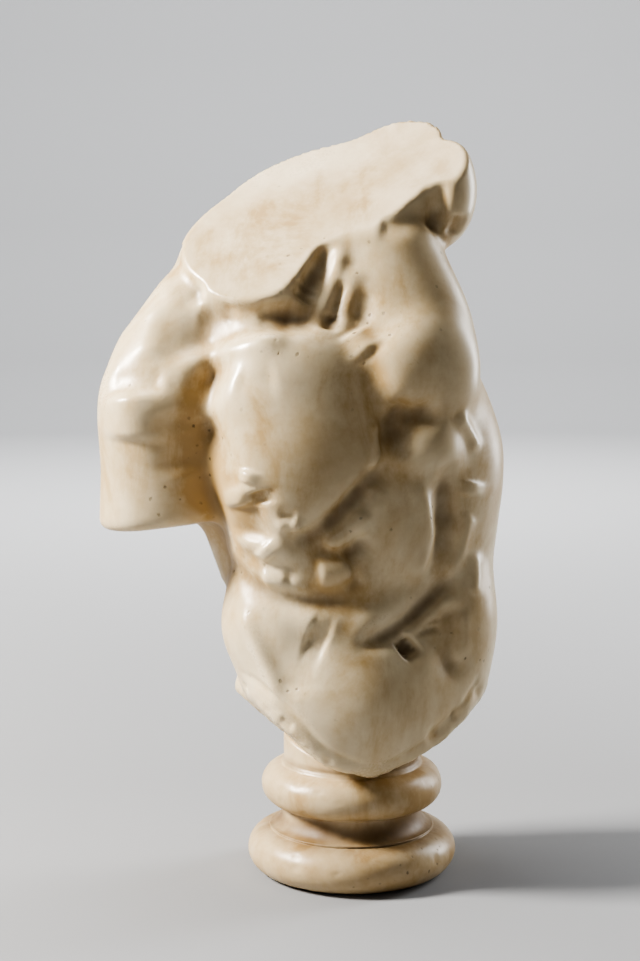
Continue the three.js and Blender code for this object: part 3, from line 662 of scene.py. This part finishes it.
def old_marble(name, clean, warm, deep, dirt_gain, patina_and_shade_gain):
    """Worn marble: clouded stone, warm patina with painted shade in the hollows, dark pits and a satin
    surface.
    """
    material = bpy.data.materials.new(name)
    material.use_nodes = True
    tree = material.node_tree
    surface = tree.nodes["Principled BSDF"]
    place = node(tree, "ShaderNodeTexCoord", {}, [], "Object")
    drawn = node(tree, "ShaderNodeMapping", {}, [("Vector", place), ("Scale", DRAWN_DOWN)])

    cloud = between(tree, noise(tree, place, *CLOUDS), 0.38, 0.64)
    stain = between(tree, noise(tree, drawn, *STAINS), 0.45, 0.68)
    mottle = noise(tree, place, *MOTTLING)
    grain = noise(tree, place, *CRYSTALS)
    attribute = node(tree, "ShaderNodeAttribute", {"attribute_name": "hollow"}, [], "Fac")
    # the hollows' share of deep colour: patina together with painted shade
    hollow = between(tree, attribute + (mottle - 0.5) * 0.3, 0.05, 1.3)
    worn = between(tree, attribute * -1.0, 0.05, 0.5)

    # warm patina over the clean stone, deep patina with painted shade in the hollows, clean stone on the
    # worn ridges
    warmth = ALL_WARM + cloud * CLOUD_WARM + stain * STAIN_WARM + (mottle - 0.5) * MOTTLE_WARM
    colour = painted(tree, clean + (1.0,), warm + (1.0,), (warmth * patina_and_shade_gain).limited())
    colour = painted(tree, colour, deep + (1.0,), (hollow * 0.8 * patina_and_shade_gain).limited())
    colour = painted(tree, colour, clean + (1.0,), worn * 0.45)

    # dark pits, frayed at the edge and gathered in fields
    speck_cells = node(tree, "ShaderNodeTexVoronoi", {}, [("Vector", place), ("Scale", SPECK_CELLS)])
    speck_shape = speck_cells + (noise(tree, place, *SPECK_EDGES) - 0.5) * 0.5
    fields = between(tree, noise(tree, place, *SPECK_FIELDS), 0.5, 0.68)
    specks = between(tree, speck_shape * -1.0, -0.17, -0.05) * fields
    colour = painted(tree, colour, tuple(c * 0.45 for c in deep) + (1.0,), (specks * dirt_gain).limited())
    tree.links.new(colour.socket, surface.inputs["Base Color"])

    rough = 0.34 + cloud * 0.1 + hollow * 0.16 + specks * 0.25 - worn * 0.07 + (grain - 0.5) * 0.08
    tree.links.new(rough.socket, surface.inputs["Roughness"])
    relief = mottle * 0.5 + grain * 0.14 - specks * 0.9
    bump_inputs = [("Height", relief), ("Strength", RELIEF["strength"]), ("Distance", RELIEF["metres"])]
    bump = node(tree, "ShaderNodeBump", {}, bump_inputs)
    tree.links.new(bump.socket, surface.inputs["Normal"])
    surface.inputs["Subsurface Weight"].default_value = GLOW["weight"]
    surface.inputs["Subsurface Radius"].default_value = GLOW["metres"]
    surface.inputs["Subsurface Scale"].default_value = 1.0
    surface.inputs["Specular IOR Level"].default_value = 0.5
    return material


torso.data.materials.clear()
torso.data.materials.append(
    old_marble("torso marble", TORSO_CLEAN, TORSO_WARM, TORSO_DEEP_PATINA_AND_SHADE, 0.75, 1.0))
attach(torso, "root")
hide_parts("torso")


# ---- socle: the turned foot ------------------------------------------------------------------------
# A round foot turned from warmer, more clouded marble: a lower torus, a scotia, an upper torus and a
# short neck that is cut to the torso's broken underside. It is drawn up ring by ring from a disc.
LOWER_TORUS = {"radius": 70, "level": 19, "roll": 20}
SCOTIA = {"radius": 71, "level": 57, "deep": 11.5, "bottom": 40}
UPPER_TORUS = {"radius": 60.5, "level": 76, "roll": 17.5}
FILLET = {"radius": 60.5, "level": 96}
NECK = {"radius": 58.5, "level": 98}
NECK_JOINT = 0.3              # gap under the torso
SOCLE_SIDES = 160
ROLL_STEPS = 16               # steps in a quarter of a torus's roll
NECK_RINGS = 6                # rings up the neck
CAP_RINGS = 6                 # rings inwards over the neck's top
SOCLE_WEAR = ((34, 0.5), (9, 0.16))  # bump size and height of the worn surface
SOCLE_CHIPS = (7, 0.58, 1.6)  # size, share that stays whole, depth
CHIPS_PLACE = 300             # where their noise is read, away from the other noises
SOCLE_PATINA_AND_SHADE_REACH = {"scotia": 11, "fillet": 4}  # how far patina and painted shade reach up and down from their middle
PATINA_AND_SHADE_RISE = 6               # how far over the scotia's lower edge its patina and painted shade are deepest
FILLET_SHARE = 0.6
CLOUDY = (26, 0.25)           # bump size and share of what clouds the socle's patina
SOCLE_CLEAN = (0.60, 0.475, 0.30)
SOCLE_WARM = (0.42, 0.28, 0.125)
# the deepest colour: patina with painted shade in the scotia and round the foot of the neck
SOCLE_DEEP_PATINA_AND_SHADE = (0.15, 0.088, 0.035)


def arc(radius, level, wide, high, start, end, steps):
    """Points of a quarter or half roll, as radius and level."""
    angles = np.radians(np.linspace(start, end, steps + 1))
    return [(radius + wide * math.cos(a), level + high * math.sin(a)) for a in angles]


def neck_top(x, y):
    """The torso's broken underside over a place on the neck, less the joint."""
    rises = [p[2] + sx * (x - p[0]) + sy * (y - p[1]) for sx, sy, p in UNDERSIDE]
    return np.max(rises, axis=0) - NECK_JOINT


# the foot's outline, from its underside to the start of the neck
lower, upper = LOWER_TORUS, UPPER_TORUS
profile = [(lower["radius"], 0.0)]
profile += arc(lower["radius"], lower["level"], lower["roll"], lower["level"], -90, 90, 2 * ROLL_STEPS)[1:]
profile += [(SCOTIA["radius"] + 0.6, SCOTIA["bottom"] - 0.8), (SCOTIA["radius"], SCOTIA["bottom"])]
profile += arc(SCOTIA["radius"], SCOTIA["level"], SCOTIA["deep"], SCOTIA["level"] - SCOTIA["bottom"],
               -90, -180, ROLL_STEPS)[1:]
profile += arc(upper["radius"], upper["level"], upper["roll"], upper["roll"], -90, 90, 2 * ROLL_STEPS)
profile += [(FILLET["radius"], FILLET["level"] - 0.4), (FILLET["radius"] - 0.4, FILLET["level"])]
profile += [(NECK["radius"], NECK["level"])]

bpy.ops.object.select_all(action="DESELECT")
bpy.ops.mesh.primitive_circle_add(
    vertices=SOCLE_SIDES, radius=profile[0][0] * METRES, fill_type="NGON", location=(0, 0, 0))
socle = bpy.context.active_object
socle.name = "socle_turned"
bpy.ops.object.mode_set(mode="EDIT")
bpy.ops.mesh.select_all(action="SELECT")
radius, level = profile[0]
for next_radius, next_level in profile[1:]:
    bpy.ops.mesh.extrude_region_move(
        TRANSFORM_OT_translate={"value": (0, 0, (next_level - level) * METRES)})
    growth = next_radius / radius
    bpy.ops.transform.resize(value=(growth, growth, 1), center_override=(0, 0, next_level * METRES))
    radius, level = next_radius, next_level
# each ring of the neck and of its top is drawn up by one millimetre, to tell them apart below
for _ in range(NECK_RINGS):
    bpy.ops.mesh.extrude_region_move(TRANSFORM_OT_translate={"value": (0, 0, METRES)})
for ring in range(CAP_RINGS - 1, 0, -1):
    bpy.ops.mesh.extrude_region_move(TRANSFORM_OT_translate={"value": (0, 0, METRES)})
    shrink = ring / (ring + 1)
    bpy.ops.transform.resize(value=(shrink, shrink, 1), center_override=(0, 0, level * METRES))
bpy.ops.mesh.select_all(action="SELECT")
bpy.ops.mesh.normals_make_consistent(inside=False)
bpy.ops.object.mode_set(mode="OBJECT")

# the neck's rings are spread up to the torso's underside, then the turned surface is worn and chipped
points = mesh_points(socle)
rings_up = np.round(points[:, 2] - NECK["level"]).astype(int)
top = neck_top(points[:, 0], points[:, 1])
share = np.clip(rings_up / NECK_RINGS, 0, 1)
raised = NECK["level"] + (np.maximum(top, NECK["level"] + 0.2) - NECK["level"]) * share
points[:, 2] = np.where(rings_up > 0, raised, points[:, 2])
around = np.hypot(points[:, 0], points[:, 1])
outer = (around > NECK["radius"] - 0.5) & (points[:, 2] > 0.5) & (rings_up <= 0)
wear = sum((lattice_noise(points, size) - 1) * depth for size, depth in SOCLE_WEAR)
size, whole, depth = SOCLE_CHIPS
chips = np.clip(lattice_noise(points + CHIPS_PLACE, size) - whole, 0, 1) / (1 - whole) * depth
inward = (wear - chips) * outer
points[:, :2] *= (1 + inward / np.maximum(around, 1))[:, None]
put_points(socle, points)
bpy.ops.object.shade_smooth()

# patina and painted shade gather in the scotia and round the foot of the neck
height = points[:, 2]
scotia_patina_and_shade = np.exp(-((height - SCOTIA["bottom"] - PATINA_AND_SHADE_RISE) / SOCLE_PATINA_AND_SHADE_REACH["scotia"]) ** 2)
fillet_patina_and_shade = np.exp(-((height - NECK["level"]) / SOCLE_PATINA_AND_SHADE_REACH["fillet"]) ** 2)
cloudy = lattice_noise(points, CLOUDY[0]) * CLOUDY[1]
socle_patina_and_shade = scotia_patina_and_shade + FILLET_SHARE * fillet_patina_and_shade + cloudy
shade_and_patina_layer = socle.data.attributes.new("hollow", "FLOAT", "POINT")
shade_and_patina_layer.data.foreach_set("value", socle_patina_and_shade.astype(np.float32))
socle.data.materials.append(
    old_marble("socle marble", SOCLE_CLEAN, SOCLE_WARM, SOCLE_DEEP_PATINA_AND_SHADE, 0.8, 1.15))
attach(socle, "root")
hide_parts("socle")


# ---- studio: floor, light and camera ---------------------------------------------------------------
# A pale floor that curves up into a round wall, a soft key light from the upper left, weak lights in
# front, above and behind on the right, and one that washes the wall. Lengths here are in metres.
FLOOR_RADIUS = 4.2
FLOOR_PALE = (0.32, 0.323, 0.33)
WALL_RINGS = ((4.9, 0.18), (5.4, 0.65), (5.6, 1.3), (5.65, 5.0))
CAMERA_PLACE = (-0.027342, -1.572116, 0.520724)
CAMERA_LENS = 70.0
CAMERA_DOWN = 6.6694          # degrees below level
ROOM_LIGHT = (1.0, 0.985, 0.96)
ROOM_STRENGTH = 0.03
BODY = (0.0, 0.0, 0.36)       # what most lamps are aimed at
WALL_FOOT = (0.0, 5.0, 0.3)
# name, place, aim, width, height, watts, colour
LAMPS = (
    ("key", (-2.00, -0.22, 1.56), BODY, 0.5, 0.65, 140.0, (1.0, 0.97, 0.93)),
    ("fill", (-0.4, -2.2, 1.3), BODY, 1.0, 1.0, 3.0, (0.95, 0.97, 1.0)),
    ("rim", (1.35, 0.75, 0.75), BODY, 0.5, 1.2, 20.0, (0.97, 0.98, 1.0)),
    ("wall", (0.0, 1.9, 2.4), WALL_FOOT, 2.6, 0.6, 230.0, (1.0, 1.0, 1.0)),
    ("top", (-0.3, 0.3, 2.1), BODY, 0.9, 0.9, 12.0, (1.0, 0.98, 0.95)),
)

bpy.ops.object.select_all(action="DESELECT")
bpy.ops.mesh.primitive_circle_add(vertices=96, radius=FLOOR_RADIUS, fill_type="NGON")
floor = bpy.context.active_object
floor.name = "studio_floor"
bpy.ops.object.mode_set(mode="EDIT")
bpy.ops.mesh.select_all(action="SELECT")
bpy.ops.mesh.select_mode(type="EDGE")
radius, level = FLOOR_RADIUS, 0.0
bpy.ops.mesh.region_to_loop()
for next_radius, next_level in WALL_RINGS:
    bpy.ops.mesh.extrude_edges_move(TRANSFORM_OT_translate={"value": (0, 0, next_level - level)})
    growth = next_radius / radius
    bpy.ops.transform.resize(value=(growth, growth, 1), center_override=(0, 0, next_level))
    radius, level = next_radius, next_level
bpy.ops.object.mode_set(mode="OBJECT")
bpy.ops.object.shade_smooth()
paint = bpy.data.materials.new("pale floor")
paint.use_nodes = True
paint.node_tree.nodes["Principled BSDF"].inputs["Base Color"].default_value = FLOOR_PALE + (1.0,)
paint.node_tree.nodes["Principled BSDF"].inputs["Roughness"].default_value = 0.8
floor.data.materials.append(paint)

for name, place, aim, width, height, watts, colour in LAMPS:
    bpy.ops.object.light_add(type="AREA", location=place)
    lamp = bpy.context.active_object
    lamp.name = name
    lamp.data.shape = "RECTANGLE"
    lamp.data.size = width
    lamp.data.size_y = height
    lamp.data.energy = watts
    lamp.data.color = colour
    right, away, up = np.array(aim) - np.array(place)
    lamp.rotation_euler = (math.atan2(math.hypot(right, away), -up), 0, math.atan2(-right, away))

world = bpy.data.worlds.new("room")
bpy.context.scene.world = world
world.use_nodes = True
world.node_tree.nodes["Background"].inputs["Color"].default_value = ROOM_LIGHT + (1.0,)
world.node_tree.nodes["Background"].inputs["Strength"].default_value = ROOM_STRENGTH

bpy.ops.object.camera_add(
    location=CAMERA_PLACE, rotation=(math.radians(90 - CAMERA_DOWN), 0, 0))
camera = bpy.context.active_object
camera.data.lens = CAMERA_LENS
bpy.context.scene.camera = camera
bpy.context.scene.view_settings.look = "AgX - High Contrast"
